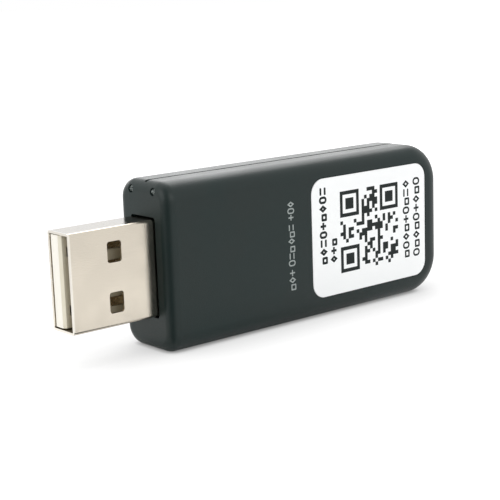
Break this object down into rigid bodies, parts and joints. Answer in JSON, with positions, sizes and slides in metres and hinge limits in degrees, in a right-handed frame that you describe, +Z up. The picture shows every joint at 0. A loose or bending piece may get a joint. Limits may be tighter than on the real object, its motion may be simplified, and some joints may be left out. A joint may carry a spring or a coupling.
{
  "type": "wifi data stick",
  "caption": "Slim data stick: a soft-edged dark case in two halves with a white label, a flat metal data plug at one end, and a circuit board with a radio module inside.",
  "frame": {"origin": "centre of the bottom of the stick's bounding box, on the long narrow side that it stands on", "axes": "+X along the stick from the plug's tip to the far end, -Y out of the label side, +Z up across the case's width"},
  "size_m": [0.06, 0.01, 0.021],
  "materials": {
    "case": "fine satin texture, dark grey-green",
    "label": "white coated film, matte",
    "plug_metal": "nickel plated steel sheet, smooth satin",
    "tongue": "moulded cream white plastic",
    "contact_metal": "gold plated brass strip",
    "board": "glass fibre laminate with green solder mask",
    "module_board": "glass fibre laminate with dark blue solder mask",
    "tin": "tin plated steel",
    "copper": "gold washed copper track",
    "chip_plastic": "black moulding compound",
    "ferrite": "dark grey ferrite",
    "tank": "ochre moulded capacitor body",
    "chip_ceramic": "tan ceramic with tinned ends",
    "resistor": "black coated ceramic with tinned ends",
    "fuse": "dark green laminate",
    "baffle": "black light-tight plastic",
    "lamp_red": "clear resin on a white base",
    "lamp_green": "clear resin on a white base"
  },
  "bodies": {
    "root": {"front_shell": "case", "rear_shell": "case", "label": "label", "plug_shell": "plug_metal", "plug_tongue": "tongue", "contact_ground": "contact_metal", "contact_data_plus": "contact_metal", "contact_data_minus": "contact_metal", "contact_power": "contact_metal", "circuit_board": "board", "light_baffle": "baffle", "module_board": "module_board", "module_shield": "tin", "module_antenna": "copper", "radio_chip": "chip_plastic", "radio_memory": "chip_plastic", "radio_crystal": "tin", "power_coil": "ferrite", "tank_capacitors": "tank", "input_fuse": "fuse", "clock_crystal": "tin", "ceramic_capacitors": "chip_ceramic", "lamp_resistors": "resistor", "status_lamp_1": "lamp_green", "status_lamp_2": "lamp_green", "status_lamp_3": "lamp_green", "status_lamp_4": "lamp_red", "controller_chip": "chip_plastic", "controller_leads": "tin", "driver_chip": "chip_plastic", "driver_leads": "tin", "memory_chip": "chip_plastic", "memory_leads": "tin", "surge_guard": "chip_plastic", "surge_guard_leads": "tin", "regulator_chip": "chip_plastic", "regulator_leads": "tin"}
  },
  "joints": []
}
